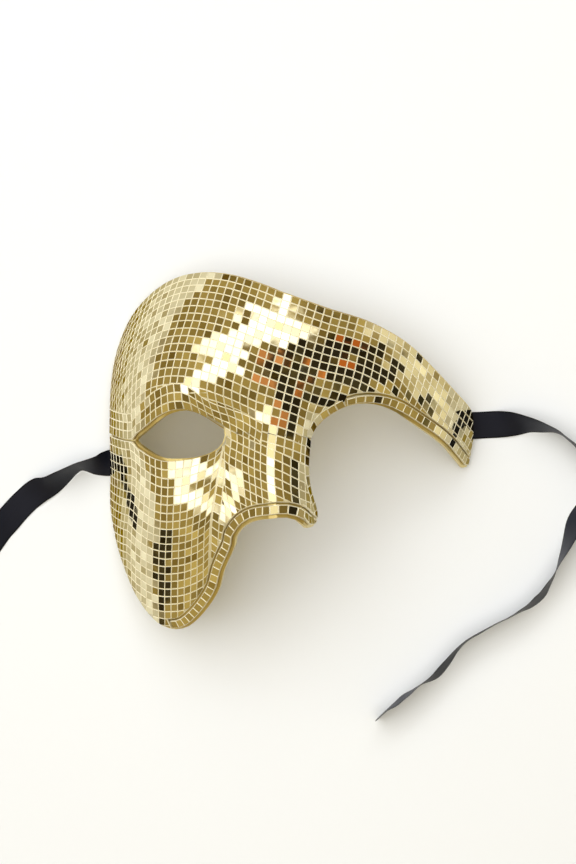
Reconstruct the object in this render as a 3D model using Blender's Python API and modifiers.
"""Masquerade half mask, lying face up: a moulded gold shell with one eye hole, sheets and edge rows
of small mirror tiles on it, and a satin ribbon glued inside each end."""

import math

import bmesh
import bpy
import numpy as np
from mathutils import Vector
from mathutils.geometry import delaunay_2d_cdt

# Driving dimensions of the face form, in metres
EAR_HALF_WIDTH = 0.080
BAND_HALF_WIDTH = 0.106
EAR_SECTION_DEPTH = 0.074
BAND_SECTION_DEPTH = 0.068
FRONT_DEPTH = 0.060
FACE_HEIGHT = 0.100
NOSE_RISE = 0.0205
NOSE_NEAR_HALF_WIDTH = 0.0155
NOSE_FAR_HALF_WIDTH = 0.011
BROW_RISE = 0.0030
EYE_SOCKET_DEPTH = 0.0080
CHEEKBONE_RISE = 0.0035
CHEEK_HOLLOW_DEPTH = 0.0025
BAND_TIP_CURL = 0.0050

# Walls, tiles and clearances
SHELL_WALL = 0.0016
TILE_THICKNESS = 0.0012
TILE_CLEARANCE = 0.0003
RIM_WIDTH = 0.0014
EDGE_ROW_WIDTH = 0.0040
BARE_STRIP_WIDTH = 0.0009
SEAM_WIDTH = 0.0008
RESTING_FLAT_DEPTH = 0.0004

# Ribbons
RIBBON_WIDTH = 0.0130
RIBBON_THICKNESS = 0.0008
RIBBON_STATION_GAP = 0.0030
RIBBON_CLEARANCE = 0.00005

# Fineness of the faceted form
GRID_STEP = 0.0064
NOSE_GRID_STEP = 0.0040
OUTLINE_STEP = 0.0042
EYE_STEP = 0.0032
# The grid's points keep this share of its step from every line
GRID_CLEAR_SHARE = 0.55
SMOOTH_ANGLE = math.radians(40)

# The turns between which the form lies, in degrees
TURN_LIMITS = (-90.0, 70.0)
# The zone of the finer grid: how many nose half widths across, and its heights
NOSE_ZONE_ACROSS = 1.6
NOSE_ZONE_HEIGHTS = (-0.56, 0.16)
# The relief fades out where the form's cross section has turned so far that its cosine is below this
RELIEF_FADE = 0.35

# Cross sections of the form. Each row is at a height, a share of FACE_HEIGHT, and holds the ear side's
# half width, the band side's half width, the two section depths and the front's depth, each a share
# of its named size.
SECTION_COLUMNS = ("height", "ear_width", "band_width", "ear_depth", "band_depth", "front")
SECTIONS = (
    (-1.00, 0.956, 0.62, 0.95, 0.94, 0.53),
    (-0.85, 0.970, 0.77, 1.02, 0.97, 0.70),
    (-0.70, 0.980, 0.88, 1.07, 1.00, 0.835),
    (-0.55, 0.992, 0.94, 1.08, 1.00, 0.92),
    (-0.40, 1.002, 0.98, 1.08, 1.00, 0.967),
    (-0.20, 1.010, 0.995, 1.06, 1.00, 0.982),
    (0.00, 1.012, 1.00, 1.00, 1.00, 1.00),
    (0.20, 0.997, 0.996, 0.983, 1.015, 1.017),
    (0.35, 0.969, 0.985, 0.966, 1.028, 0.967),
    (0.50, 0.919, 0.953, 0.938, 1.024, 0.850),
    (0.65, 0.850, 0.896, 0.895, 0.995, 0.711),
    (0.80, 0.738, 0.802, 0.819, 0.946, 0.517),
    (0.95, 0.525, 0.660, 0.703, 0.882, 0.267),
)

# The nose: its rise over the form, and how wide each side is at half the rise
NOSE_COLUMNS = ("height", "rise", "near_width", "far_width")
NOSE = (
    (-0.70, 0.00, 1.03, 1.09),
    (-0.60, 0.38, 1.04, 1.09),
    (-0.50, 0.86, 1.06, 1.09),
    (-0.44, 1.00, 1.07, 1.09),
    (-0.37, 1.00, 1.04, 1.06),
    (-0.30, 0.91, 1.00, 1.00),
    (-0.15, 0.71, 0.84, 0.91),
    (0.00, 0.49, 0.74, 0.91),
    (0.08, 0.34, 0.74, 0.94),
    (0.18, 0.13, 0.79, 1.00),
    (0.28, 0.00, 0.90, 1.09),
)
NOSE_NEAR_ROUNDING = 3.2
NOSE_FAR_ROUNDING = 5.0

# Low swells and hollows: centre and radii across as shares of EAR_HALF_WIDTH and up as shares of
# FACE_HEIGHT, the sides they are on, and how far each rises
RELIEF_COLUMNS = ("name", "sides", "across", "up", "radius_across", "radius_up", "rise")
RELIEF = (
    ("brow", (-1, 1), 0.42, 0.20, 0.46, 0.15, BROW_RISE),
    ("eye_socket", (-1, 1), 0.41, -0.01, 0.34, 0.19, -EYE_SOCKET_DEPTH),
    ("cheekbone", (-1, 1), 0.55, -0.30, 0.42, 0.24, CHEEKBONE_RISE),
    ("cheek_hollow", (-1, 1), 0.57, -0.66, 0.45, 0.26, -CHEEK_HOLLOW_DEPTH),
    ("band_tip", (1,), 1.15, -0.20, 0.275, 0.22, -BAND_TIP_CURL),
)

# Runs of the outline, from corner to corner. Each row is a turn round the head from the middle of
# the face, in degrees and negative to the ear side, and a height as a share of FACE_HEIGHT.
OUTLINE_COLUMNS = ("turn", "height")
TOP_EDGE = (
    (-82.0, 0.36), (-80.5, 0.45), (-75.0, 0.545), (-66.5, 0.628), (-56.0, 0.702), (-45.0, 0.743),
    (-33.0, 0.752), (-20.0, 0.732), (-8.0, 0.687), (0.0, 0.646), (7.0, 0.602), (14.0, 0.560),
    (22.0, 0.521), (28.5, 0.473), (35.0, 0.408), (43.5, 0.290), (52.0, 0.190), (60.5, 0.113),
)
BAND_END = ((60.5, 0.113), (62.0, 0.07), (62.5, -0.03), (61.4, -0.14), (59.8, -0.176), (57.9, -0.172))
BAND_UNDERSIDE = (
    (57.9, -0.172), (52.0, -0.120), (47.0, -0.068), (42.0, -0.022), (37.5, 0.016), (33.0, 0.056),
    (28.5, 0.096), (24.5, 0.120), (20.0, 0.129), (16.0, 0.118), (12.5, 0.088), (9.5, 0.050),
    (7.3, 0.005), (6.1, -0.040),
)
NOSE_FAR_EDGE = (
    (6.1, -0.04), (5.6, -0.10), (5.3, -0.17), (5.7, -0.24), (6.8, -0.30), (7.7, -0.35), (7.8, -0.39),
    (6.7, -0.416), (4.9, -0.417),
)
NOSE_FOOT = (
    (4.9, -0.417), (3.0, -0.39), (0.8, -0.372), (-2.0, -0.368), (-5.0, -0.374), (-8.5, -0.382),
    (-11.5, -0.398), (-14.0, -0.428), (-15.8, -0.470),
)
CHEEK_EDGE = (
    (-15.8, -0.47), (-16.3, -0.52), (-18.0, -0.575), (-19.8, -0.64), (-21.0, -0.71), (-23.3, -0.77),
    (-26.5, -0.83), (-30.0, -0.88), (-34.0, -0.918), (-38.5, -0.933),
)
EAR_EDGE = (
    (-38.5, -0.933), (-44.0, -0.926), (-49.0, -0.895), (-54.5, -0.84), (-60.0, -0.77), (-66.0, -0.67),
    (-72.5, -0.55), (-78.0, -0.42), (-79.8, -0.33), (-78.0, -0.22), (-77.2, -0.12), (-77.6, 0.0),
    (-79.0, 0.14), (-81.2, 0.26), (-82.0, 0.36),
)
EYE_HOLE = (
    (-55.5, -0.040), (-52.0, -0.012), (-47.5, 0.022), (-43.0, 0.058), (-38.0, 0.086), (-33.0, 0.098),
    (-29.0, 0.088), (-25.0, 0.064), (-21.5, 0.034), (-18.8, 0.010), (-18.8, -0.020), (-20.0, -0.060),
    (-23.0, -0.090), (-28.0, -0.112), (-34.0, -0.120), (-40.0, -0.120), (-45.0, -0.106), (-50.0, -0.078),
)
# Where the forehead's sheet of tiles meets the face's sheet
SHEET_SEAM = ((-92.0, 0.02), (-55.5, -0.04), (-18.8, -0.005), (6.1, -0.03), (14.0, -0.09), (66.0, -0.42))

# The edge row under the band starts at this turn
BAND_ROW_START = 15.0

# Routes of the ribbons from the glued end to the free end, hand chosen. Each row is a point of the
# ribbon's middle in millimetres, on the surface that the mask lies on, and the lean of the ribbon's
# width from level in degrees. The height is the ribbon's own wherever it lies on the surface.
RIBBON_COLUMNS = ("x", "y", "z", "lean")
RIBBON_EAR_ROUTE = (
    (-72.1, -5.2, 25.3, 0), (-77.0, -5.6, 19.0, 0), (-81.1, -6.0, 12.2, 0), (-84.0, -6.3, 6.1, 0),
    (-85.7, -6.5, 2.7, 2), (-88.6, -6.7, 1.4, 9), (-92.0, -7.2, 3.0, 28), (-95.4, -7.7, 5.0, 46),
    (-99.4, -7.9, 6.2, 62), (-103.4, -8.5, 6.6, 72), (-107.0, -10.5, 6.5, 69), (-111.2, -13.4, 5.9, 58),
    (-117.7, -17.5, 4.7, 41), (-124.2, -20.4, 2.2, 15), (-131.8, -26.3, 0, 0), (-138.2, -33.4, 0, 10),
    (-144.0, -40.8, 0, 24), (-149.6, -48.6, 0, 22), (-155.0, -57.0, 0, 6),
)
RIBBON_BAND_ROUTE = (
    (71.4, 13.3, 19.7, 0), (76.6, 12.9, 14.5, 0), (81.1, 12.5, 9.1, 0), (84.1, 12.1, 4.4, 0),
    (86.1, 12.0, 1.3, 0), (89.2, 12.0, 0.6, 0), (93.5, 12.2, 0, 0), (99.0, 12.5, 0.8, -4),
    (106.8, 12.8, 3.5, -27), (114.3, 12.3, 5.7, -55), (121.1, 11.0, 6.4, -70), (125.4, 9.8, 6.6, -80),
    (130.0, 7.8, 6.6, -90), (135.0, 3.9, 6.6, -90), (140.4, -2.2, 6.6, -90), (144.6, -9.4, 6.6, -88),
    (146.0, -17.0, 6.5, -80), (144.2, -23.6, 5.9, -64), (140.8, -28.1, 5.4, -56), (137.6, -32.7, 5.6, -58),
    (133.9, -41.0, 6.3, -72), (129.9, -51.0, 6.6, -90), (124.8, -62.6, 6.3, -108),
    (119.0, -71.0, 6.1, -116), (110.9, -76.6, 6.4, -106), (104.3, -80.4, 6.5, -102),
    (99.0, -83.1, 6.5, -102), (92.0, -87.1, 6.5, -104), (84.9, -91.6, 6.5, -104),
    (79.3, -97.1, 6.3, -108), (76.0, -101.8, 6.2, -113), (71.5, -107.4, 6.1, -115),
    (62.4, -113.4, 6.5, -100), (52.9, -120.7, 6.6, -90), (46.8, -125.6, 6.5, -98), (42.2, -129.9, 6.5, -99),
)

COLLECTION = "masquerade_half_mask"


def smooth_values(stations, values, at):
    """Values at the given places on a smooth curve through a table's stations."""
    stations = np.asarray(stations, float)
    values = np.asarray(values, float)
    at = np.clip(at, stations[0], stations[-1])
    slopes = np.gradient(values, stations)
    index = np.clip(np.searchsorted(stations, at, side="right") - 1, 0, len(stations) - 2)
    gap = stations[index + 1] - stations[index]
    s = (at - stations[index]) / gap
    start = (1 + 2 * s) * (1 - s) ** 2 * values[index] + s * (1 - s) ** 2 * gap * slopes[index]
    end = s**2 * (3 - 2 * s) * values[index + 1] + s**2 * (s - 1) * gap * slopes[index + 1]
    return start + end


def column(rows, columns, name):
    return [row[columns.index(name)] for row in rows]


def swell(distance):
    """A smooth mound of height 1 that reaches 0 at distance 1."""
    return np.clip(1 - distance**2, 0, 1) ** 2


def relief(across, up):
    """How far the nose, brow, socket and cheek stand over the plain form."""
    share = up / FACE_HEIGHT
    heights = column(NOSE, NOSE_COLUMNS, "height")
    rise = np.clip(smooth_values(heights, column(NOSE, NOSE_COLUMNS, "rise"), share), 0, None)
    near = smooth_values(heights, column(NOSE, NOSE_COLUMNS, "near_width"), share)
    far = smooth_values(heights, column(NOSE, NOSE_COLUMNS, "far_width"), share)
    half_width = np.where(across < 0, near * NOSE_NEAR_HALF_WIDTH, far * NOSE_FAR_HALF_WIDTH)
    rounding = np.where(across < 0, NOSE_NEAR_ROUNDING, NOSE_FAR_ROUNDING)
    total = NOSE_RISE * rise / (1 + (np.abs(across) / half_width) ** rounding)
    for _, sides, centre, height, radius_across, radius_up, amount in RELIEF:
        for side in sides:
            x = (side * across / EAR_HALF_WIDTH - centre) / radius_across
            y = (share - height) / radius_up
            total = total + amount * swell(np.hypot(x, y))
    return total


def face_points(turn, height):
    """Points of the outer face for turns in degrees and heights as shares, in the face's own frame:
    x across to the band side, y up the face, z out of it."""
    turn = np.radians(np.asarray(turn, float))
    height = np.asarray(height, float)
    heights = column(SECTIONS, SECTION_COLUMNS, "height")
    at = {
        name: smooth_values(heights, column(SECTIONS, SECTION_COLUMNS, name), height)
        for name in SECTION_COLUMNS[1:]
    }
    ear_side = turn < 0
    half_width = np.where(ear_side, at["ear_width"] * EAR_HALF_WIDTH, at["band_width"] * BAND_HALF_WIDTH)
    depth = np.where(ear_side, at["ear_depth"] * EAR_SECTION_DEPTH, at["band_depth"] * BAND_SECTION_DEPTH)
    across = half_width * np.sin(turn)
    up = height * FACE_HEIGHT
    out = at["front"] * FRONT_DEPTH - depth * (1 - np.cos(turn))
    facing_front = np.clip(np.cos(turn) / RELIEF_FADE, 0, 1)
    out = out + relief(across, up) * facing_front**2 * (3 - 2 * facing_front)
    return np.stack([across, up, out], axis=-1)


def face_normals(turn, height):
    turn_step, height_step = 0.05, 0.0005
    along = face_points(turn + turn_step, height) - face_points(turn - turn_step, height)
    upward = face_points(turn, height + height_step) - face_points(turn, height - height_step)
    normal = np.cross(along, upward)
    return normal / np.linalg.norm(normal, axis=-1, keepdims=True)


def smooth_run(rows, closed=False, step=OUTLINE_STEP):
    """Points about a step apart on a smooth curve through an outline's rows."""
    rows = np.array(rows, float)
    if closed:
        rows = np.vstack([rows[-1], rows, rows[:2]])
    else:
        rows = np.vstack([2 * rows[0] - rows[1], rows, 2 * rows[-1] - rows[-2]])
    dense = []
    for a, b, c, d in zip(rows, rows[1:], rows[2:], rows[3:]):
        for s in np.linspace(0, 1, 12, endpoint=False):
            curve = 2 * b + (c - a) * s + (2 * a - 5 * b + 4 * c - d) * s**2
            dense.append((curve + (3 * b - a - 3 * c + d) * s**3) / 2)
    dense.append(rows[-2])
    dense = np.array(dense)
    formed = face_points(dense[:, 0], dense[:, 1])
    walked = np.concatenate([[0], np.cumsum(np.linalg.norm(np.diff(formed, axis=0), axis=1))])
    count = max(3, round(walked[-1] / step))
    stops = np.linspace(0, walked[-1], count + 1)[: -1 if closed else None]
    return np.stack([np.interp(stops, walked, dense[:, i]) for i in (0, 1)], axis=1)


def inset_run(run, distance, closed=False):
    """The run moved over the face by a distance, to the right of the way that it goes."""
    formed = face_points(run[:, 0], run[:, 1])
    if closed:
        ahead = np.roll(formed, -1, axis=0) - np.roll(formed, 1, axis=0)
    else:
        ahead = np.gradient(formed, axis=0)
    normal = face_normals(run[:, 0], run[:, 1])
    sideways = np.cross(ahead, normal)
    sideways /= np.linalg.norm(sideways, axis=1, keepdims=True)
    turn_step, height_step = 0.05, 0.0005
    per_turn = (face_points(run[:, 0] + turn_step, run[:, 1]) - formed) / turn_step
    per_height = (face_points(run[:, 0], run[:, 1] + height_step) - formed) / height_step
    moved = []
    for row, a, b, side in zip(run, per_turn, per_height, sideways):
        shift = np.linalg.lstsq(np.stack([a, b], axis=1), side * distance, rcond=None)[0]
        moved.append(row + shift)
    return np.array(moved)


def outline_runs():
    """The outline's runs by name, clockwise as seen from in front of the face."""
    runs = {
        "top": TOP_EDGE, "end": BAND_END, "underside": BAND_UNDERSIDE, "nose_far": NOSE_FAR_EDGE,
        "nose_foot": NOSE_FOOT, "cheek": CHEEK_EDGE, "ear": EAR_EDGE,
    }
    return {name: smooth_run(rows) for name, rows in runs.items()}


def inside(points, polygon):
    """Whether each point lies inside a closed polygon, both in turn and height."""
    x, y = points[:, 0][:, None], points[:, 1][:, None]
    ax, ay = polygon[:, 0], polygon[:, 1]
    bx, by = np.roll(ax, -1), np.roll(ay, -1)
    crosses = (ay > y) != (by > y)
    with np.errstate(divide="ignore", invalid="ignore"):
        left = x < (bx - ax) * (y - ay) / (by - ay) + ax
    return (crosses & left).sum(axis=1) % 2 == 1


def distance_to(points, line):
    """Distance from each point of space to the nearest point of a dense line."""
    return np.sqrt(((points[:, None, :] - line[None, :, :]) ** 2).sum(axis=2)).min(axis=1)


def grid_points(outline, eye, lines, step, keep):
    """Points of a hexagonal grid on the form, clear of the edges and of every line."""
    height_step = step * math.sqrt(3) / 2 / FACE_HEIGHT
    rows = np.arange(outline[:, 1].min(), outline[:, 1].max(), height_step)
    found = []
    for i, height in enumerate(rows):
        dense = np.arange(*TURN_LIMITS, 0.25)
        formed = face_points(dense, np.full(len(dense), height))
        walked = np.concatenate([[0], np.cumsum(np.linalg.norm(np.diff(formed, axis=0), axis=1))])
        stops = np.arange((i % 2) * step / 2, walked[-1], step)
        found += [(turn, height) for turn in np.interp(stops, walked, dense)]
    found = np.array(found)
    found = found[inside(found, outline) & ~inside(found, eye)]
    formed = face_points(found[:, 0], found[:, 1])
    clear = distance_to(formed, np.vstack(lines)) > GRID_CLEAR_SHARE * step
    return found[clear & keep(formed)]


def near_nose(formed):
    across, up = formed[:, 0] / NOSE_NEAR_HALF_WIDTH, formed[:, 1] / FACE_HEIGHT
    low, high = NOSE_ZONE_HEIGHTS
    return (np.abs(across) < NOSE_ZONE_ACROSS) & (up > low) & (up < high)


def away_from_nose(formed):
    return ~near_nose(formed)


def closed_strip(run, depth):
    """The polygon between a run and its inset."""
    return np.vstack([run, inset_run(run, depth)[::-1]])


def stretched(run, start, end):
    """The run made longer by a distance at its start and at its end."""
    formed = face_points(run[:, 0], run[:, 1])
    points = list(run)
    if start:
        points.insert(0, run[0] + (run[0] - run[1]) * start / np.linalg.norm(formed[0] - formed[1]))
    if end:
        points.append(run[-1] + (run[-1] - run[-2]) * end / np.linalg.norm(formed[-1] - formed[-2]))
    return np.array(points)


class Pattern:
    """The flat cutting pattern: every line of the shell and the tile sheets, triangulated at once,
    so that the layers formed from it lie parallel."""

    def __init__(self):
        runs = outline_runs()
        self.outline = np.vstack([run[:-1] for run in runs.values()])
        self.eye = smooth_run(EYE_HOLE, closed=True, step=EYE_STEP)
        self.rimmed = inset_run(self.outline, RIM_WIDTH, closed=True)
        self.rimmed_eye = inset_run(self.eye, -RIM_WIDTH, closed=True)
        under_band = runs["underside"][runs["underside"][:, 0] > BAND_ROW_START]
        under_face = np.vstack([runs["nose_foot"][:-1], runs["cheek"]])
        # Stretched past the outline's corners, so that each row ends at the rim there
        band_row = stretched(under_band, 2 * EDGE_ROW_WIDTH, 0)
        face_row = stretched(under_face, 2 * EDGE_ROW_WIDTH, 0)
        row_depth = RIM_WIDTH + EDGE_ROW_WIDTH
        self.rows = [closed_strip(row, row_depth) for row in (band_row, face_row)]
        self.clearings = [
            closed_strip(stretched(row, 0, BARE_STRIP_WIDTH), row_depth + BARE_STRIP_WIDTH)
            for row in (band_row, face_row)
        ]
        self.seam = smooth_run(SHEET_SEAM)
        self.seam_sides = [inset_run(self.seam, side * SEAM_WIDTH / 2) for side in (-1, 1)]
        self.triangulate()
        self.sort_faces()

    def triangulate(self):
        closed_lines = [self.outline, self.eye, self.rimmed, self.rimmed_eye]
        open_lines = list(self.seam_sides)
        for strip in self.rows + self.clearings:
            # The side that lies on the outline is a line already
            open_lines.append(np.vstack([strip[len(strip) // 2 :], strip[:1]]))
            open_lines.append(strip[len(strip) // 2 - 1 : len(strip) // 2 + 1])
        points, edges = [], []
        for line, closed in [(x, True) for x in closed_lines] + [(x, False) for x in open_lines]:
            first = len(points)
            points += list(line)
            edges += [(first + i, first + i + 1) for i in range(len(line) - 1)]
            if closed:
                edges.append((first + len(line) - 1, first))
        formed = [face_points(x[:, 0], x[:, 1]) for x in closed_lines + open_lines]
        for step, keep in ((NOSE_GRID_STEP, near_nose), (GRID_STEP, away_from_nose)):
            points += list(grid_points(self.outline, self.eye, formed, step, keep))
        per_degree = math.radians(1) * EAR_HALF_WIDTH
        flat = [Vector((turn * per_degree, height * FACE_HEIGHT)) for turn, height in points]
        spots, _, faces, _, _, _ = delaunay_2d_cdt(flat, edges, [], 0, 1e-7)
        self.spots = np.array([(p.x / per_degree, p.y / FACE_HEIGHT) for p in spots])
        self.faces = np.array([face for face in faces])

    def sort_faces(self):
        """Gives each triangle of the pattern to the pieces that it is a part of."""
        centres = self.spots[self.faces].mean(axis=1)
        kept = inside(centres, self.outline) & ~inside(centres, self.eye)
        self.faces, centres = self.faces[kept], centres[kept]
        tiled = inside(centres, self.rimmed) & ~inside(centres, self.rimmed_eye)
        in_band_row, in_face_row = [tiled & inside(centres, strip) for strip in self.rows]
        in_sheet = tiled & ~inside(centres, self.clearings[0]) & ~inside(centres, self.clearings[1])
        lower, upper = [np.interp(centres[:, 0], *side.T) for side in self.seam_sides[::-1]]
        self.pieces = {
            "mask_shell": self.faces,
            "forehead_mosaic": self.largest(self.faces[in_sheet & (centres[:, 1] > upper)]),
            "face_mosaic": self.largest(self.faces[in_sheet & (centres[:, 1] < lower)]),
            "band_edge_row": self.largest(self.faces[in_band_row]),
            "face_edge_row": self.largest(self.faces[in_face_row]),
        }

    @staticmethod
    def largest(faces):
        """The largest set of triangles that meet edge to edge."""
        by_edge = {}
        for i, face in enumerate(faces):
            for a, b in ((0, 1), (1, 2), (2, 0)):
                by_edge.setdefault(frozenset((face[a], face[b])), []).append(i)
        label = list(range(len(faces)))

        def root(i):
            while label[i] != i:
                i = label[i]
            return i

        for pair in by_edge.values():
            if len(pair) == 2:
                label[root(pair[0])] = root(pair[1])
        roots = np.array([root(i) for i in range(len(faces))])
        values, counts = np.unique(roots, return_counts=True)
        return faces[roots == values[counts.argmax()]]


def rest_direction(outer, inner, areas):
    """The way down and a point of the rim, for the form lying on the three points that carry it."""
    hull = bmesh.new()
    for point in np.vstack([outer, inner]):
        hull.verts.new(point)
    result = bmesh.ops.convex_hull(hull, input=hull.verts)
    middle = Vector(((outer + inner) / 2 * areas[:, None]).sum(axis=0) / areas.sum())
    best = None
    for face in [item for item in result["geom"] if isinstance(item, bmesh.types.BMFace)]:
        face.normal_update()
        corners = [vert.co.copy() for vert in face.verts]
        down = face.normal if (middle - corners[0]).dot(face.normal) < 0 else -face.normal
        drop = (corners[0] - middle).dot(down)
        foot = middle + down * drop
        sides = [
            (b - a).cross(foot - a).dot(down) for a, b in zip(corners, corners[1:] + corners[:1])
        ]
        carries = all(x >= 0 for x in sides) or all(x <= 0 for x in sides)
        if carries and down.z < 0 and (best is None or drop < best[0]):
            best = (drop, np.array(down), np.array(corners[0]))
    hull.free()
    return best[1:]


def resting_frame(pattern):
    """The turn and the shift that lay the face's own frame down on a surface at height 0."""
    used = np.unique(pattern.faces)
    spots = pattern.spots[used]
    outer = face_points(spots[:, 0], spots[:, 1])
    normals = face_normals(spots[:, 0], spots[:, 1])
    inner = outer - SHELL_WALL * normals
    a, b, c = np.moveaxis(face_points(*pattern.spots.T)[pattern.faces], 1, 0)
    face_areas = np.linalg.norm(np.cross(b - a, c - a), axis=1) / 2
    areas = np.zeros(len(pattern.spots))
    for corner in pattern.faces.T:
        np.add.at(areas, corner, face_areas / 3)
    down, rim_point = rest_direction(outer, inner, areas[used])
    across = np.array([1.0, 0.0, 0.0]) - down[0] * down
    across /= np.linalg.norm(across)
    turn = np.stack([across, np.cross(-down, across), -down])
    tops = outer + (TILE_CLEARANCE + TILE_THICKNESS) * normals
    turned = np.vstack([inner, tops]) @ turn.T
    middle = (turned.min(axis=0) + turned.max(axis=0)) / 2
    floor = -down @ rim_point + RESTING_FLAT_DEPTH
    return turn, np.array([middle[0], middle[1], floor])


def material(name, color, roughness, metallic):
    made = bpy.data.materials.new(name)
    made.use_nodes = True
    shader = made.node_tree.nodes["Principled BSDF"]
    shader.inputs["Base Color"].default_value = (*color, 1)
    shader.inputs["Roughness"].default_value = roughness
    shader.inputs["Metallic"].default_value = metallic
    return made


def add_object(name, points, faces, finish, collection):
    mesh = bpy.data.meshes.new(name)
    mesh.from_pydata([tuple(p) for p in points], [], [tuple(int(i) for i in f) for f in faces])
    mesh.materials.append(finish)
    mesh.shade_smooth()
    mesh.set_sharp_from_angle(angle=SMOOTH_ANGLE)
    made = bpy.data.objects.new(name, mesh)
    collection.objects.link(made)
    return made


def add_layer(name, pattern, place, lift, thickness, finish, collection):
    """One layer of the mask, formed from its triangles of the pattern, thickened in or out."""
    faces = pattern.pieces[name]
    used, index = np.unique(faces, return_inverse=True)
    spots = pattern.spots[used]
    points = face_points(spots[:, 0], spots[:, 1]) + lift * face_normals(spots[:, 0], spots[:, 1])
    made = add_object(name, place(points), index.reshape(faces.shape), finish, collection)
    wall = made.modifiers.new("wall", "SOLIDIFY")
    wall.thickness = abs(thickness)
    wall.offset = math.copysign(1, thickness)
    return made


def add_resting_flats(shell, cutters):
    """Trims the rim flat where the mask rests on a surface."""
    mesh = bpy.data.meshes.new("surface_cutter")
    block = bmesh.new()
    bmesh.ops.create_cube(block, size=1)
    span = 4 * (EAR_HALF_WIDTH + BAND_HALF_WIDTH)
    bmesh.ops.scale(block, vec=(span, span, FACE_HEIGHT), verts=block.verts)
    bmesh.ops.translate(block, vec=(0, 0, -FACE_HEIGHT / 2), verts=block.verts)
    block.to_mesh(mesh)
    block.free()
    cutter = bpy.data.objects.new("surface_cutter", mesh)
    cutters.objects.link(cutter)
    cutter.hide_render = True
    cutter.display_type = "WIRE"
    cut = shell.modifiers.new("resting_flats", "BOOLEAN")
    cut.operation = "DIFFERENCE"
    cut.object = cutter


def ribbon_stations(route):
    """Points along a ribbon about a station gap apart and the lean of its width at each, on a smooth
    curve through the route's own points."""
    rows = np.array(route, float)
    rows[:, :3] /= 1000
    walked = np.concatenate([[0], np.cumsum(np.linalg.norm(np.diff(rows[:, :3], axis=0), axis=1))])
    fine = np.linspace(0, walked[-1], 40 * len(rows))
    curve = np.stack([smooth_values(walked, rows[:, i], fine) for i in range(4)], axis=1)
    length = np.concatenate([[0], np.cumsum(np.linalg.norm(np.diff(curve[:, :3], axis=0), axis=1))])
    count = round(length[-1] / RIBBON_STATION_GAP)
    stops = np.linspace(0, length[-1], count + 1)
    stations = np.stack([np.interp(stops, length, curve[:, i]) for i in range(4)], axis=1)
    lean = np.radians(stations[:, 3])
    lying = np.abs(np.sin(lean)) * RIBBON_WIDTH / 2 + np.abs(np.cos(lean)) * RIBBON_THICKNESS / 2
    stations[:, 2] = np.maximum(stations[:, 2], lying + RIBBON_CLEARANCE)
    return stations


def add_ribbon(name, route, finish, collection):
    """A flat strip whose width lies level where it lies flat and leans where the ribbon turns over."""
    stations = ribbon_stations(route)
    curve = bpy.data.curves.new(name, "CURVE")
    curve.dimensions = "3D"
    curve.twist_mode = "Z_UP"
    curve.twist_smooth = 0
    curve.extrude = (RIBBON_WIDTH - RIBBON_THICKNESS) / 2
    curve.bevel_depth = RIBBON_THICKNESS / 2
    curve.bevel_resolution = 0
    curve.use_fill_caps = True
    curve.materials.append(finish)
    line = curve.splines.new("POLY")
    line.points.add(len(stations) - 1)
    for point, (x, y, z, lean) in zip(line.points, stations):
        point.co = (x, y, z, 1)
        point.tilt = math.radians(90 - lean)
    made = bpy.data.objects.new(name, curve)
    collection.objects.link(made)
    return made


def clear_scene():
    for thing in list(bpy.data.objects):
        bpy.data.objects.remove(thing, do_unlink=True)


def new_collection(name):
    made = bpy.data.collections.new(name)
    bpy.context.scene.collection.children.link(made)
    return made


def main():
    clear_scene()
    pieces = new_collection(COLLECTION)
    cutters = new_collection("cutters")
    gold = material("gold_plastic", (0.55, 0.40, 0.14), 0.3, 0.9)
    mirror = material("gold_mirror", (0.83, 0.72, 0.42), 0.06, 1.0)
    satin = material("black_satin", (0.012, 0.012, 0.02), 0.45, 0.0)

    pattern = Pattern()
    turn, shift = resting_frame(pattern)

    def place(points):
        return points @ turn.T - shift

    shell = add_layer("mask_shell", pattern, place, 0, -SHELL_WALL, gold, pieces)
    add_resting_flats(shell, cutters)
    for name in list(pattern.pieces)[1:]:
        add_layer(name, pattern, place, TILE_CLEARANCE, TILE_THICKNESS, mirror, pieces)
    add_ribbon("ribbon_ear_side", RIBBON_EAR_ROUTE, satin, pieces)
    add_ribbon("ribbon_band_side", RIBBON_BAND_ROUTE, satin, pieces)


main()
